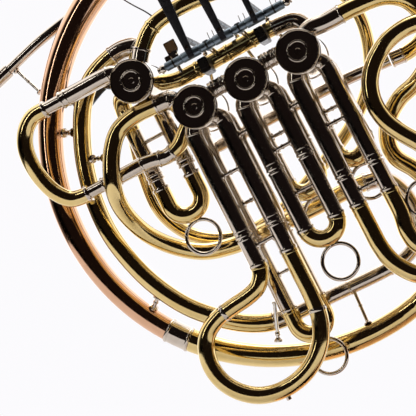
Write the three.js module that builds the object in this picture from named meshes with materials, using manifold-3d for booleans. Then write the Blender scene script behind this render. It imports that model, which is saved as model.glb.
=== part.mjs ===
// Double French horn, standing on its bell rim. Millimetres, +Z up, valve caps facing -Y.
import * as THREE from 'three';
import { ParametricGeometry } from 'three/addons/geometries/ParametricGeometry.js';
import { mergeVertices } from 'three/addons/utils/BufferGeometryUtils.js';
import Module from 'manifold-3d';

const wasm = await Module();
wasm.setup();

// ---- driving dimensions ----------------------------------------------------
const ROW_TILT = THREE.MathUtils.degToRad(27);   // the row of finger valves rises to the right
const VALVE_PITCH = 47;
const CAP_R = 18;
const CAP_DEPTH = 5;
const CASING_R = 17.4;
const CASING_FRONT = 5.4;
const CASING_BACK = 62;
const ROTOR_R = 15.4;
const FRONT_DECK = 18;                           // depth of the F side tubes
const REAR_DECK = 47;                            // depth of the B flat side tubes
const LEG_HALF = 13.7;                           // half the spacing of a valve's two legs
const LEG_R = 7.1;
const SLIDE_R = 5.9;                               // inner leg that slides in an outer leg
const WALL = 0.6;
const SIDES = 8;
const RING_R = 14.6;
const RING_WIRE = 1.3;
const GAP = 0.3;
const BELL_CENTRE = [50, -14];                   // x, z of the circle that the bell tail follows
const BELL_LOOP_R = 191.5;
const BELL_DEPTH = 66;
const BELL_RIM_R = 155;
const FLARE_WALL = 1.1;
const BELL_RIM_Z = -372;                         // rim height below the first valve's axis
const BELL_INSET = 12;                           // the throat turns in from the circle by this much
const BELL_AXIS_X = BELL_CENTRE[0] + BELL_LOOP_R - BELL_INSET;
const CHANGE_VALVE = [-37, -43];                 // row coordinates of the thumb valve

// ---- materials -------------------------------------------------------------
const finish = (color, roughness, metalness = 1) => (
  new THREE.MeshStandardMaterial({ color, roughness, metalness }));
const nickel = finish(0xc8beaf, 0.16);
const yellowBrass = finish(0xd0a45c, 0.15);
const roseBrass = finish(0xc88a68, 0.15);
const darkLever = finish(0x36343a, 0.4, 0.7);
const blueRod = finish(0x48566a, 0.28);
const silver = finish(0xd6d2ca, 0.14);

// ---- places ----------------------------------------------------------------
/** A point by u along the valve row, v down the slides and depth y behind the caps. */
function at(u, v, y) {
  const c = Math.cos(ROW_TILT);
  const s = Math.sin(ROW_TILT);
  return new THREE.Vector3(u * c + v * s, y, u * s - v * c);
}

const p = (x, z, y) => new THREE.Vector3(x, y, z);
const ROW = at(1, 0, 0);
const DOWN = at(0, 1, 0);
const DEPTH = new THREE.Vector3(0, 1, 0);

/** A smooth curve through points, as count + 1 evenly spaced points. */
function smooth(points, count) {
  return new THREE.CatmullRomCurve3(points, false, 'centripetal').getSpacedPoints(count);
}

/** An arc about centre from angle a to b, in the plane of the unit vectors e and f. */
function arc(centre, radius, e, f, a, b, count) {
  return Array.from({ length: count + 1 }, (_, i) => {
    const t = THREE.MathUtils.degToRad(a + (b - a) * i / count);
    return centre.clone().addScaledVector(e, radius * Math.cos(t))
      .addScaledVector(f, radius * Math.sin(t));
  });
}

// ---- solids ----------------------------------------------------------------
function toSolid(geometry) {
  const bare = geometry.clone();
  bare.deleteAttribute('normal');
  bare.deleteAttribute('uv');
  const merged = mergeVertices(bare, 1e-3);
  return new wasm.Manifold(new wasm.Mesh({
    numProp: 3,
    vertProperties: new Float32Array(merged.attributes.position.array),
    triVerts: new Uint32Array(merged.index.array),
  }));
}

function toGeometry(solid) {
  const mesh = solid.getMesh();
  const geometry = new THREE.BufferGeometry();
  geometry.setAttribute('position', new THREE.BufferAttribute(mesh.vertProperties, 3));
  geometry.setIndex(new THREE.BufferAttribute(mesh.triVerts, 1));
  return geometry;
}

const join = (...parts) => toGeometry(parts.map(toSolid).reduce((a, b) => a.add(b)));
const cut = (body, ...tools) => (
  toGeometry(tools.map(toSolid).reduce((a, b) => a.subtract(b), toSolid(body))));

/** The same closed surface with its faces turned to point out. */
function outward(geometry) {
  const { position } = geometry.attributes;
  const index = geometry.index.array;
  const corner = (i) => new THREE.Vector3().fromBufferAttribute(position, index[i]);
  let volume = 0;
  for (let i = 0; i < index.length; i += 3) {
    volume += corner(i).dot(corner(i + 1).cross(corner(i + 2)));
  }
  if (volume < 0) {
    for (let i = 0; i < index.length; i += 3) {
      [index[i], index[i + 1]] = [index[i + 1], index[i]];
    }
  }
  return geometry;
}

/** Direction at the end of a line of points, following the bend of its evenly spaced points. */
function endDirection(end, next, after) {
  const first = next.clone().sub(end);
  if (!after) {
    return first.normalize();
  }
  const second = after.clone().sub(next);
  const ratio = first.length() / second.length();
  if (ratio > 1.4 || ratio < 0.7) {
    return first.normalize();
  }
  return first.normalize().multiplyScalar(1.5)
    .addScaledVector(second.normalize(), -0.5).normalize();
}

/** Direction of the line at each point, and a normal carried along it without twist. */
function frames(points) {
  const last = points.length - 1;
  const tangents = points.map((_, i) => points[Math.min(i + 1, last)].clone()
    .sub(points[Math.max(i - 1, 0)]).normalize());
  tangents[0] = endDirection(points[0], points[1], points[2]);
  tangents[last] = endDirection(points[last], points[last - 1], points[last - 2]).negate();
  const first = Math.abs(tangents[0].y) > 0.9 ? ROW : DEPTH;
  const normals = [];
  points.forEach((_, i) => {
    const n = (i ? normals[i - 1] : first).clone();
    normals.push(n.addScaledVector(tangents[i], -n.dot(tangents[i])).normalize());
  });
  return { tangents, normals };
}

/** A round tube with an open bore along points. radius is a number or a function of 0..1. */
function tube(points, radius, wall = WALL, sides = SIDES) {
  const { tangents, normals } = frames(points);
  const last = points.length - 1;
  const size = (i) => (typeof radius === 'function' ? radius(i / last, i) : radius);
  const rings = 2 * points.length;
  const surface = (s, t, target) => {
    const ring = Math.round(t * rings) % rings;
    const i = ring <= last ? ring : rings - 1 - ring;
    const r = size(i) - (ring <= last ? 0 : wall);
    const a = 2 * Math.PI * (Math.round(s * sides) % sides) / sides;
    const side = new THREE.Vector3().crossVectors(tangents[i], normals[i]);
    target.copy(points[i]).addScaledVector(normals[i], r * Math.cos(a))
      .addScaledVector(side, r * Math.sin(a));
  };
  return outward(new ParametricGeometry(surface, sides, rings));
}

/** A solid rod between two points. */
function rod(a, b, radius, sides = 10) {
  const length = a.distanceTo(b);
  const geometry = new THREE.CylinderGeometry(radius, radius, length, sides);
  const turn = new THREE.Quaternion().setFromUnitVectors(DEPTH, b.clone().sub(a).normalize());
  return geometry.applyQuaternion(turn).translate(...a.clone().lerp(b, 0.5).toArray());
}

/** A turned shape about an axis along +Y through centre; profile holds [radius, y] pairs. */
function turned(profile, centre, sides = 16) {
  const outline = profile.map(([r, y]) => new THREE.Vector2(r, y));
  return outward(new THREE.LatheGeometry(outline, sides)).translate(centre.x, 0, centre.z);
}

/** A box centred on a point, with its sides along the row, the slides and the depth. */
function rowBox(centre, along, down, deep) {
  const basis = new THREE.Matrix4().makeBasis(ROW, DEPTH, DOWN.clone().negate());
  return new THREE.BoxGeometry(along, deep, down).applyMatrix4(basis)
    .translate(...centre.toArray());
}

function ball(centre, radius) {
  return new THREE.SphereGeometry(radius, 8, 5).translate(...centre.toArray());
}

/** A flat plate of the row plane with a thickness in depth, from [u, v] corners. */
function plate(corners, front, thickness) {
  const shape = new THREE.Shape(corners.map(([u, v]) => new THREE.Vector2(u, -v)));
  const geometry = new THREE.ExtrudeGeometry(shape, { depth: thickness, bevelEnabled: false });
  const basis = new THREE.Matrix4().makeBasis(ROW, DOWN.clone().negate(), DEPTH.clone().negate());
  const placed = geometry.applyMatrix4(basis).translate(0, front + thickness, 0);
  return outward(toGeometry(toSolid(placed)));
}

/** A pull ring in the row plane. */
function pullRing(centre, radius = RING_R, wire = RING_WIRE) {
  return new THREE.TorusGeometry(radius, wire, 5, 14).rotateX(Math.PI / 2)
    .translate(...centre.toArray());
}

const horn = new THREE.Group();

function add(name, geometry, material) {
  const mesh = new THREE.Mesh(geometry, material);
  mesh.name = name;
  horn.add(mesh);
}

// ---- bell ------------------------------------------------------------------
/** A point of the bell circle, by angle from +X. */
function onBellLoop(degrees) {
  const a = THREE.MathUtils.degToRad(degrees);
  const turnedIn = degrees < 90 ? ((90 - degrees) / 90) ** 1.5 : 0;
  const r = BELL_LOOP_R - BELL_INSET * turnedIn;
  return p(BELL_CENTRE[0] + r * Math.cos(a), BELL_CENTRE[1] + r * Math.sin(a), BELL_DEPTH);
}

const bellLoop = (a, b, count) => (
  Array.from({ length: count + 1 }, (_, i) => onBellLoop(a + (b - a) * i / count)));
const TAIL_START = 243;
const THROAT_R = 20;
const tailRadius = (t) => 9.6 + 2.4 * t + (THROAT_R - 12) * t ** 1.7;
const throat = p(BELL_AXIS_X, BELL_CENTRE[1] - 12, BELL_DEPTH);
add('bell_tail', tube([...bellLoop(TAIL_START, 0, 18), throat], tailRadius, WALL, 10), roseBrass);

/** The flare, turned about a vertical axis; height is measured up from the rim. */
function bellFlare() {
  const top = throat.z - BELL_RIM_Z - GAP;
  const rimDrop = 5;
  const outer = [[THROAT_R, top], [21.5, 300], [25, 245], [31, 190], [40.5, 140],
    [54, 96], [74, 58], [100, 30], [130, 13], [BELL_RIM_R - 3, rimDrop]];
  const inner = outer
    .map(([r, z]) => [r - FLARE_WALL, z - 0.2 - 0.8 * (r / BELL_RIM_R)]).reverse();
  const bead = [[BELL_RIM_R, 4], [BELL_RIM_R, 1.2], [BELL_RIM_R - 1.2, 0], [BELL_RIM_R - 5, 0]];
  const outline = [...outer, ...bead, ...inner, outer[0]]
    .map(([r, z]) => new THREE.Vector2(r, z));
  return outward(new THREE.LatheGeometry(outline, 24)).rotateX(Math.PI / 2)
    .translate(BELL_AXIS_X, BELL_DEPTH, BELL_RIM_Z);
}
add('bell_flare', bellFlare(), roseBrass);
add('bell_ferrule', tube(bellLoop(TAIL_START + 0.15, 249.5, 2), 10.2), nickel);

// ---- branches --------------------------------------------------------------
const branchRise = [p(172.5, -161, 65), p(183, -149, 62.5), p(190, -126, 60), p(191, -100, 60),
  p(189, -78, 61), p(183, -61, 62), p(172, -50, 60), p(156, -39.5, 60), p(149.5, -26, 62),
  p(150.5, -8, 62), p(159, 8, 61), p(173, 21, 58), p(183, 36, 50), p(186, 54, 38),
  p(180, 72, 29), p(168, 83.5, 23), p(151.3, 86.5, 19), p(127.2, 78.6, FRONT_DECK)];
const rise = smooth(branchRise, 22);
const RISE_SPLIT = 5;
add('outer_branch', tube([...bellLoop(249.65, 306, 7), ...rise.slice(0, RISE_SPLIT + 1)],
  (t) => 9.9 - 2 * t), yellowBrass);
const valveOutletEnd = [at(122, -12.5, FRONT_DECK), at(109, -13.6, FRONT_DECK),
  at(101, -10, FRONT_DECK), at(96, -3, FRONT_DECK)];

/** A cylinder that clears a valve casing. */
function casingClearance([u, v]) {
  const c = at(u, v, 0);
  return turned([[0, 0], [CASING_R + GAP, 0], [CASING_R + GAP, 80], [0, 80]], c);
}

const VALVES = { change: CHANGE_VALVE };
[0, 1, 2].forEach((i) => {
  VALVES[`valve${i + 1}`] = [VALVE_PITCH * i, 0];
});
const clear = (geometry, ...names) => (
  cut(geometry, ...names.map((name) => casingClearance(VALVES[name]))));

const outletStart = rise[RISE_SPLIT].clone().lerp(rise[RISE_SPLIT + 1], 0.06);
const outletPath = [outletStart, ...rise.slice(RISE_SPLIT + 1), ...valveOutletEnd];
add('third_valve_outlet', clear(tube(outletPath, 7.3), 'valve3'), yellowBrass);

const innerBranch = [at(-40.5, -56, 50), p(-60, 53.5, 51), p(-72, 53, 52),
  p(-87.4, 43, 52), p(-101, 27, 52),
  p(-107.5, 8, 52), p(-109, -18, 52), p(-106, -46, 52), p(-97.5, -76, 52), p(-84.5, -103, 52),
  p(-68, -124.5, 52), p(-48, -144, 52), p(-21, -162, 52), p(1, -171, 54), p(30, -177.5, 58),
  p(51, -177, 62), p(66, -172.4, 65)];
add('inner_branch', clear(tube(smooth(innerBranch, 16), 7.8), 'change'), yellowBrass);

const crossTube = [p(66.8, -172.0, 65.15), p(76, -168, 67), p(99, -156.5, 70), p(152, -130, 73),
  p(164, -121.5, 75), p(172, -110, 76), p(174, -96, 75), p(170, -80, 73), p(161, -66.5, 71),
  p(152, -59.2, 69.6), p(143.6, -57, 69)];
add('inner_cross_tube', tube(smooth(crossTube, 11), 6.2), nickel);

const firstLoop = [at(-14, -9, FRONT_DECK), p(-22.7, 6.5, 18), p(-36, 2.4, 18),
  p(-54, -6, 18), p(-67.5, -18, 18),
  p(-72.8, -35, 17.5), p(-73, -56, 17.5), p(-71.6, -68, 21), p(-69, -80, 30), p(-62, -93, 43),
  p(-50.5, -104.6, 54), p(-31.8, -114, 64), p(-7, -118.4, 69), p(18, -113.5, 70),
  p(43, -103, 70), p(89, -80.5, 69),
  p(127, -61.5, 69), p(141, -57.2, 69)];
add('first_valve_loop', clear(tube(smooth(firstLoop, 17), 7.3), 'valve1', 'change'), yellowBrass);

const rearCross = [at(-26, -38, 34), at(-10, -32, 34), at(10, -31, 34), at(90, -31, 34),
  at(101, -28, 34), at(106, -18, 34), at(101, -9, 34)];
add('rear_cross_tube', clear(tube(smooth(rearCross, 9), 6.7), 'change', 'valve3'), yellowBrass);

const changeLoop = [at(-31, -50, FRONT_DECK), p(-46.5, 51, 18), p(-38.5, 67, 18),
  p(-18.5, 81.5, 20), p(12, 95, 24), p(55, 113.5, 29), p(94, 116, 38), p(130, 111, 48),
  p(157, 101, 60), p(173, 88, 70), p(179.5, 73, 76), p(177, 59, 77), p(165.5, 48.5, 76),
  p(150.5, 41.7, 75)];
add('change_valve_loop', clear(tube(smooth(changeLoop, 16), 7), 'change'), yellowBrass);

const backBranch = [p(149.9, 41.4, 75), at(110, 28.2, 75), at(0, 28, 75), at(-10, 28, 74.5),
  at(-20, 25, 71), at(-25, 17, 66), at(-24.5, 6, 60), at(-19, 0, 57), at(-12, -1, 57)];
add('back_branch', clear(tube(smooth(backBranch, 11), 5.5), 'valve1'), nickel);

// ---- valves ----------------------------------------------------------------
/** Casing open at the front, with a hole for the spindle at the back. */
function casing([u, v]) {
  const wall = 1.2;
  const back = 3;
  return turned([[CASING_R, CASING_FRONT], [CASING_R, CASING_BACK], [3.4, CASING_BACK],
    [3.4, CASING_BACK - back], [CASING_R - wall, CASING_BACK - back],
    [CASING_R - wall, CASING_FRONT], [CASING_R, CASING_FRONT]], at(u, v, 0));
}

/** Screw cap: a raised centre disc, a shallow dish and a thick rolled edge. */
function cap([u, v]) {
  return turned([[0, 0.9], [7.2, 0.9], [8, 2], [CAP_R - 2.6, 2], [CAP_R - 1.8, 0.3],
    [CAP_R - 0.8, 0], [CAP_R, 0.9], [CAP_R, CAP_DEPTH], [0, CAP_DEPTH]], at(u, v, 0));
}

/** Rotor with two scooped air passages, and its spindle. */
function rotor([u, v]) {
  const front = CASING_FRONT + 1;
  const back = CASING_BACK - 4;
  const centre = at(u, v, 0);
  const core = turned([[0, front], [ROTOR_R, front], [ROTOR_R, back], [3, back], [3, 75], [0, 75]],
    centre, 12);
  const scoops = [-1, 1].flatMap((side) => [FRONT_DECK, REAR_DECK].map((y) => (
    rod(at(u - 20, v + side * 14.5, y), at(u + 20, v + side * 14.5, y), 11.5, 8))));
  return cut(core, ...scoops);
}

/** Crank on the end of a rotor's spindle; pin is the row offset of its pin. */
function stopArm([u, v], pin) {
  const hub = turned([[3.2, 66], [7, 66], [7, 71], [3.2, 71], [3.2, 66]], at(u, v, 0), 10);
  const reach = Math.hypot(...pin);
  const along = [pin[0] / reach, pin[1] / reach];
  const side = [-along[1] * 3, along[0] * 3];
  const corner = (d, k) => [u + along[0] * d + side[0] * k, v + along[1] * d + side[1] * k];
  const outline = [corner(5, -1), corner(reach + 3, -1), corner(reach + 3, 1), corner(5, 1)];
  const arm = plate(outline, 67, 3);
  return join(hub, arm);
}

const STOP_PIN = 7.5;
const PINS = {
  change: [-4.95, -4.95],
  valve1: [STOP_PIN, -STOP_PIN],
  valve2: [STOP_PIN, -STOP_PIN],
  valve3: [-STOP_PIN, -STOP_PIN],
};
Object.entries(VALVES).forEach(([name, place]) => {
  add(`${name}_casing`, casing(place), nickel);
  add(`${name}_cap`, cap(place), nickel);
  add(`${name}_rotor`, rotor(place), nickel);
  add(`${name}_stop_arm`, stopArm(place, PINS[name]), nickel);
});

// ---- valve slides ----------------------------------------------------------
/** The two fixed outer legs of a valve slide, joined by a short bar. */
function legPair(valve, deck, end, half = LEG_HALF) {
  const [u, v] = VALVES[valve];
  const legs = [-half, half].map((du) => (
    tube([at(u + du, v + 8, deck), at(u + du, v + end, deck)], LEG_R)));
  const bar = rod(at(u - half + LEG_R - 0.3, v + end - 10, deck),
    at(u + half - LEG_R + 0.3, v + end - 10, deck), 1.8, 8);
  return clear(join(...legs, bar), valve);
}

/** A slide: thin inner legs, then a bow of full size; bow points run from left leg to right. */
function slideTube(valve, deck, start, bowTop, bow, half = LEG_HALF) {
  const [u, v] = VALVES[valve];
  const ferrule = 0.8;
  const legPoints = (du) => [at(u + du, v + start, deck), at(u + du, v + bowTop, deck),
    at(u + du, v + bowTop + ferrule, deck)];
  const points = [...legPoints(-half), ...bow, ...legPoints(half).reverse()];
  const thin = (i) => i < 2 || i > points.length - 3;
  return tube(points, (_, i) => (thin(i) ? SLIDE_R : LEG_R));
}

/** A plain half circle between a pair of legs. */
const uBow = (u, v, deck, half = LEG_HALF) => (
  arc(at(u, v, deck), half, ROW, DOWN, 180, 0, 6));

/** A slide with a plain bow and a pull ring below it. */
function ringedSlide(valve, deck, start, bowTop, bowCentre, half = LEG_HALF) {
  const [u, v] = VALVES[valve];
  const ring = v + bowCentre + half + LEG_R + RING_R - 0.2;
  return join(slideTube(valve, deck, start, bowTop, uBow(u, v + bowCentre, deck, half), half),
    pullRing(at(u, ring, deck)));
}

const balloon = smooth([at(-13.7, 137, FRONT_DECK), at(-16.5, 145, FRONT_DECK),
  at(-23.5, 152, FRONT_DECK),
  at(-33, 155, FRONT_DECK), at(-48.5, 157, FRONT_DECK), at(-63.3, 159.8, FRONT_DECK),
  at(-76, 166.7, FRONT_DECK), at(-83, 177, FRONT_DECK), at(-86, 192, FRONT_DECK),
  at(-83, 207, FRONT_DECK), at(-74.5, 220, FRONT_DECK), at(-62, 229.5, FRONT_DECK),
  at(-48, 233.8, FRONT_DECK), at(-32, 233.8, FRONT_DECK), at(-17, 229.5, FRONT_DECK),
  at(-4, 221, FRONT_DECK), at(6, 209, FRONT_DECK), at(12, 194, FRONT_DECK),
  at(13.7, 178, FRONT_DECK), at(13.7, 137, FRONT_DECK)], 20);
add('valve1_front_legs', legPair('valve1', FRONT_DECK, 111), nickel);
add('valve1_front_slide', slideTube('valve1', FRONT_DECK, 55, 134, balloon), yellowBrass);
add('valve1_rear_legs', legPair('valve1', REAR_DECK, 120, 13), nickel);
add('valve1_rear_slide', ringedSlide('valve1', REAR_DECK, 70, 177, 193, 13), yellowBrass);
add('valve2_front_legs', legPair('valve2', FRONT_DECK, 74), nickel);
add('valve2_front_slide', ringedSlide('valve2', FRONT_DECK, 40, 126.5, 128), yellowBrass);
add('valve2_rear_legs', legPair('valve2', REAR_DECK, 60), nickel);
add('valve2_rear_slide', ringedSlide('valve2', REAR_DECK, 30, 84, 86), yellowBrass);
add('valve3_front_legs', legPair('valve3', FRONT_DECK, 104), nickel);

/** Third valve's long F slide: both legs sweep to the right and up into a round loop. */
const thirdBow = smooth([at(80.3, 152, 18), at(80.6, 166.6, 18), at(83.6, 180.6, 18),
  at(90.5, 192.8, 18), p(177, -133.8, 18), p(193, -133, 18), p(209, -125, 18), p(222, -108, 18),
  p(228, -84, 18), p(229, -30, 17), p(227, 20, 15), p(218, 46, 13), p(203, 61, 12),
  p(187, 65, 12), p(170, 61.5, 12), p(154, 50.5, 12), p(143.5, 34, 12), p(140, 18, 12),
  p(143, 2, 12), p(152, -12, 12), p(164.5, -22, 12), p(178, -30, 12.5), p(192, -40, 14),
  p(201, -54, 16), p(204, -72, 18), p(203, -92, 18), p(197, -105, 18), p(188, -112, 18),
  p(178, -110.5, 18), p(169.5, -100.5, 18), at(107.5, 150, 18), at(107.7, 138, 18)], 34);
add('valve3_front_slide', join(slideTube('valve3', FRONT_DECK, 60, 127, thirdBow),
  pullRing(p(204 - LEG_R - RING_R + 0.3, -74, 18))), yellowBrass);
add('valve3_rear_legs', legPair('valve3', REAR_DECK, 62, 13), nickel);
add('valve3_rear_slide', ringedSlide('valve3', REAR_DECK, 30, 78, 80, 13), yellowBrass);

// ---- change valve slide ----------------------------------------------------
const UPPER_V = -59.8;
const LOWER_V = 17.5;
const LOWER_DECK = 33;
const upperLeg = tube([at(-101, UPPER_V, FRONT_DECK), at(-54, UPPER_V, FRONT_DECK),
  at(-46, -56, FRONT_DECK), at(-40, -48, FRONT_DECK)], LEG_R);
add('change_slide_upper_leg', clear(upperLeg, 'change'), nickel);
const lowerLeg = tube([at(-104, LOWER_V, LOWER_DECK), at(-64, LOWER_V, LOWER_DECK),
  ...smooth([at(-56, 18.5, LOWER_DECK), at(-44, 21, LOWER_DECK), at(-32, 18, LOWER_DECK),
    at(-22, 10, LOWER_DECK), at(-12, 2, LOWER_DECK)], 5)], 6.5);
add('change_slide_lower_leg', clear(lowerLeg, 'valve1'), nickel);
const changeBow = smooth([at(-116, UPPER_V, 18), at(-128, -59.3, 18), at(-138, -53.5, 19),
  at(-146, -42, 21), at(-149, -28, 24), at(-148, -11, 28), at(-142.5, 5, 31),
  at(-134, 14.5, LOWER_DECK), at(-124, LOWER_V, LOWER_DECK), at(-118, LOWER_V, LOWER_DECK)], 10);
const changeSlidePoints = [at(-70, UPPER_V, 18), at(-115.2, UPPER_V, 18), ...changeBow,
  at(-117.2, LOWER_V, LOWER_DECK), at(-80, LOWER_V, LOWER_DECK)];
add('change_slide', tube(changeSlidePoints, (_, i) => (
  i < 2 || i > changeSlidePoints.length - 3 ? 5.4 : 6.9)), yellowBrass);

// ---- main tuning slide and leadpipe ----------------------------------------
const TUNING_U = -49.5;
const TUNING_HALF = 14.5;
const TUNING_END = 34;
const tuningLeft = tube([at(TUNING_U - TUNING_HALF, TUNING_END, REAR_DECK),
  at(TUNING_U - TUNING_HALF, -12, REAR_DECK)], LEG_R);
const tuningRight = tube([at(TUNING_U + TUNING_HALF, TUNING_END, REAR_DECK),
  at(TUNING_U + TUNING_HALF, -32, REAR_DECK)], LEG_R);
const tuningBar = rod(at(TUNING_U - TUNING_HALF + LEG_R - 0.3, 0, REAR_DECK),
  at(TUNING_U + TUNING_HALF - LEG_R + 0.3, 0, REAR_DECK), 1.8, 8);
add('tuning_slide_legs', clear(join(tuningLeft, tuningRight, tuningBar), 'change'), nickel);

function tuningSlide() {
  const start = 0;
  const bowTop = 40;
  const centre = 57;
  const legPoints = (side) => [at(TUNING_U + side * TUNING_HALF, start, REAR_DECK),
    at(TUNING_U + side * TUNING_HALF, bowTop, REAR_DECK),
    at(TUNING_U + side * TUNING_HALF, bowTop + 0.8, REAR_DECK)];
  const points = [...legPoints(-1), ...arc(at(TUNING_U, centre, REAR_DECK), TUNING_HALF,
    ROW, DOWN, 180, 0, 6), ...legPoints(1).reverse()];
  const body = tube(points, (_, i) => (i < 2 || i > points.length - 3 ? SLIDE_R : LEG_R));
  return join(body, pullRing(at(TUNING_U, centre + TUNING_HALF + LEG_R + RING_R - 0.2, REAR_DECK)));
}
add('main_tuning_slide', tuningSlide(), yellowBrass);

const leadpipe = [p(-182, 39.5, 75), p(-157, 62, 76), p(-132, 82, 80), p(-95, 110, 86),
  p(-50, 130, 90), p(0, 137, 95), p(50, 132, 100), p(95, 112, 107), p(120, 85, 110),
  p(129.5, 50, 110), p(127, 18, 109), p(113, -13, 107), p(91, -43, 104), p(72, -66, 100),
  p(49, -90, 96), p(15, -107, 92), p(-20, -105, 89), p(-48, -85, 88), p(-64, -50, 88),
  p(-73, -15, 86), p(-78, 5, 78), p(-78, 11, 64), p(-74.5, 6, 52), at(-64, -26, REAR_DECK),
  at(-64, -12.8, REAR_DECK)];
const leadRadius = (t) => 4.6 + 2.2 * t;
add('leadpipe', tube(smooth(leadpipe, 28), leadRadius, WALL, 6), yellowBrass);
const PIPE_START = leadpipe[0];
const PIPE_BACK = leadpipe[0].clone().sub(leadpipe[1]).normalize();
const alongPipe = (d) => PIPE_START.clone().addScaledVector(PIPE_BACK, d);
add('mouthpiece_receiver', tube([alongPipe(GAP), alongPipe(30)], 6.3, 1.1), nickel);

/** Mouthpiece turned about its own axis: shank in the receiver, cup and rounded rim outside. */
function mouthpiece() {
  const outer = [[3.9, 14], [4.8, 31], [5.4, 47], [8.2, 60], [11.5, 70], [12.8, 76], [12.2, 78.5]];
  const bore = [[9.4, 78], [8.6, 74], [6.4, 64], [2.6, 50], [2.2, 40], [2.9, 14]];
  const outline = [...outer, ...bore, outer[0]].map(([r, y]) => new THREE.Vector2(r, y));
  const turn = new THREE.Quaternion().setFromUnitVectors(DEPTH, PIPE_BACK);
  return outward(new THREE.LatheGeometry(outline, 20)).applyQuaternion(turn)
    .translate(...PIPE_START.toArray());
}
add('mouthpiece', mouthpiece(), silver);

// ---- finger levers ---------------------------------------------------------
const HINGE_V = -38.5;
const HINGE_Y = 0;
const CRANK_V = -53;
const LINK_Y = 75;
const HINGE_R = 2.2;

/** The fixed rod of the levers, its end balls and the posts that hold it. */
function leverRod() {
  const balls = [-9, 104].map((u) => ball(at(u, HINGE_V, HINGE_Y), 4.2));
  const shaft = rod(at(-9, HINGE_V, HINGE_Y), at(104, HINGE_V, HINGE_Y), HINGE_R);
  const posts = [32, 61].flatMap((u) => [rod(at(u, HINGE_V, HINGE_Y),
    at(u, HINGE_V + 2, 27), 2.2, 8), rowBox(at(u, HINGE_V, HINGE_Y), 5, 12, 8)]);
  return join(shaft, ...balls, ...posts);
}
add('lever_rod', leverRod(), blueRod);

/** A finger lever: hinge tube on the rod, arm and paddle up and out, crank to the back. */
function fingerLever(u, tip, reach) {
  const halfTube = 8;
  const hinge = cut(rod(at(u - halfTube, HINGE_V, HINGE_Y), at(u + halfTube, HINGE_V, HINGE_Y), 4),
    rod(at(u - 20, HINGE_V, HINGE_Y), at(u + 20, HINGE_V, HINGE_Y), HINGE_R + GAP));
  const arm = plate([[u - 2.6, HINGE_V - 2.8], [tip - 5, HINGE_V - reach + 26],
    [tip - 9, HINGE_V - reach + 10], [tip - 6.5, HINGE_V - reach], [tip + 6.5, HINGE_V - reach],
    [tip + 9, HINGE_V - reach + 10], [tip + 5, HINGE_V - reach + 26], [u + 2.6, HINGE_V - 2.8]],
  HINGE_Y - 3.4, 2.4);
  const crank = rowBox(at(u, CRANK_V, (LINK_Y - 2) / 2), 4, 4, LINK_Y + 2);
  const neck = rowBox(at(u, (HINGE_V + CRANK_V) / 2 - 1.5, HINGE_Y + 0.5), 4,
    CRANK_V - HINGE_V + 24, 4);
  return join(hinge, arm, neck, crank);
}

/** The push rod from a lever's crank to a stop arm, lying behind both. */
function linkRod(u, [pinU, pinV]) {
  const y = LINK_Y + 5.4;
  return join(rod(at(u, CRANK_V, y), at(pinU, pinV, y), 1.6, 8),
    ball(at(u, CRANK_V, y), 2.8), ball(at(pinU, pinV, y), 2.8));
}

const LEVERS = [[17, 15, 92], [46.5, 44, 88], [75.5, 76, 84]];
LEVERS.forEach(([u, tip, reach], i) => {
  const [vu, vv] = VALVES[`valve${i + 1}`];
  const [pu, pv] = PINS[`valve${i + 1}`];
  add(`lever${i + 1}`, fingerLever(u, tip, reach), darkLever);
  add(`link${i + 1}`, linkRod(u, [vu + pu, vv + pv]), nickel);
});

const THUMB_PIVOT = [-70, -66];
const THUMB_ARM = 25;
const THUMB_Y = 79;

/** Thumb lever: a bell crank that turns about a post parallel to the rotor's axis. */
function thumbLever() {
  const [u, v] = THUMB_PIVOT;
  const arm = plate([[u - 2, v - 3], [u + THUMB_ARM, v - 2.2], [u + THUMB_ARM, v + 2.2],
    [u - 2, v + 3]], THUMB_Y, 3);
  const pad = plate([[u, v - 3], [u, v + 3], [u - 18, v + 7], [u - 30, v + 14], [u - 37, v + 10],
    [u - 38, v - 3], [u - 30, v - 7], [u - 18, v - 3]], THUMB_Y, 3);
  const hub = turned([[2.6, THUMB_Y - 3], [6, THUMB_Y - 3], [6, THUMB_Y + 5], [2.6, THUMB_Y + 5],
    [2.6, THUMB_Y - 3]], at(u, v, 0), 14);
  const bore = rod(at(u, v, THUMB_Y - 4), at(u, v, THUMB_Y + 6), 2.6, 14);
  return join(cut(join(arm, pad), bore), hub);
}
add('thumb_lever', thumbLever(), darkLever);

/** Bracket from the change valve's back edge to the thumb lever's pivot post. */
function thumbBracket() {
  const [u, v] = THUMB_PIVOT;
  const bar = plate([[u - 4, v - 4], [u + 4, v - 5], [-45, -53], [-52, -46], [u - 5, v + 4]],
    64, 2.4);
  return join(bar, rod(at(u, v, 65), at(u, v, THUMB_Y + 7), 2.2));
}
add('thumb_bracket', clear(thumbBracket(), 'change'), nickel);

/** The short link from the thumb lever's arm to the change valve's stop arm. */
function linkRodThumb() {
  const y = THUMB_Y + 5.2;
  const from = [THUMB_PIVOT[0] + THUMB_ARM, THUMB_PIVOT[1]];
  const to = [CHANGE_VALVE[0] + PINS.change[0], CHANGE_VALVE[1] + PINS.change[1]];
  return join(rod(at(...from, y), at(...to, y), 1.5, 8), ball(at(...from, y), 2.2),
    ball(at(...to, y), 2.2));
}
add('thumb_link', linkRodThumb(), nickel);

// ---- braces and hooks ------------------------------------------------------
/** A turned post with a foot at each end. */
function brace(a, b, radius = 1.8) {
  const foot = (from, to) => rod(from, from.clone().lerp(to, 1.6 / a.distanceTo(b)), radius * 2.1, 10);
  return join(rod(a, b, radius, 8), foot(a, b), foot(b, a));
}

add('bell_brace_left', brace(p(-128.6, -17, 64), p(-117.2, -17, 55.5)), nickel);
add('bell_brace_bottom', brace(p(-48.6, -165.8, 62.5), p(-43.2, -156.2, 56)), nickel);

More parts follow.
